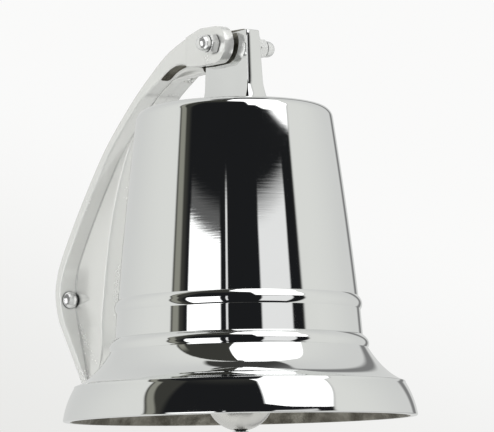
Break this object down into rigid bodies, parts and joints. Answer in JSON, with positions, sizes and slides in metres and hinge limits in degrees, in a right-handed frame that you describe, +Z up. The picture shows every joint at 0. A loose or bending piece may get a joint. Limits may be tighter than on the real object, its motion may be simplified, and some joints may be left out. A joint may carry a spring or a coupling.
{
  "type": "wall mounted bell",
  "caption": "Round ship's bell hung by a crown lug in the forked arm of a cast wall bracket, with a ball clapper on a ring inside.",
  "frame": {"origin": "on the wall, midway between the two wall screws", "axes": "+Y into the wall, -Y out from the wall towards the bell, +X to the right when facing the wall, +Z up"},
  "size_m": [0.2002, 0.2753, 0.245],
  "materials": {
    "chrome": "polished chrome plate on a casting, rough and dull inside the bell",
    "zinc": "bright zinc plated steel"
  },
  "bodies": {
    "bracket": {"wall_bracket": "chrome", "wall_screw_left": "chrome", "wall_screw_right": "chrome", "pivot_stud": "zinc", "dome_nut_left": "chrome", "dome_nut_right": "chrome", "washer_right": "chrome", "spring_washer_right": "zinc", "spacer_left": "zinc", "spacer_right": "zinc"},
    "bell": {"bell_shell": "chrome", "clapper_eyebolt": "zinc", "clapper_locknut": "zinc"},
    "ring": {"clapper_ring": "zinc"},
    "clapper": {"clapper_rod": "chrome", "clapper_ball": "chrome", "clapper_tail": "chrome"}
  },
  "joints": [
    {"name": "bell_swing", "type": "hinge", "parent": "bracket", "child": "bell", "pos_m": [0, -0.167, 0.134], "axis": [-1, 0, 0], "range_deg": [-12, 90]},
    {"name": "clapper_swing", "type": "hinge", "parent": "bell", "child": "ring", "pos_m": [0, -0.167, 0.07305], "axis": [1, 0, 0], "range_deg": [-18, 18]},
    {"name": "clapper_side", "type": "hinge", "parent": "ring", "child": "clapper", "pos_m": [0, -0.167, 0.0621], "axis": [0, 1, 0], "range_deg": [-10, 10]}
  ]
}
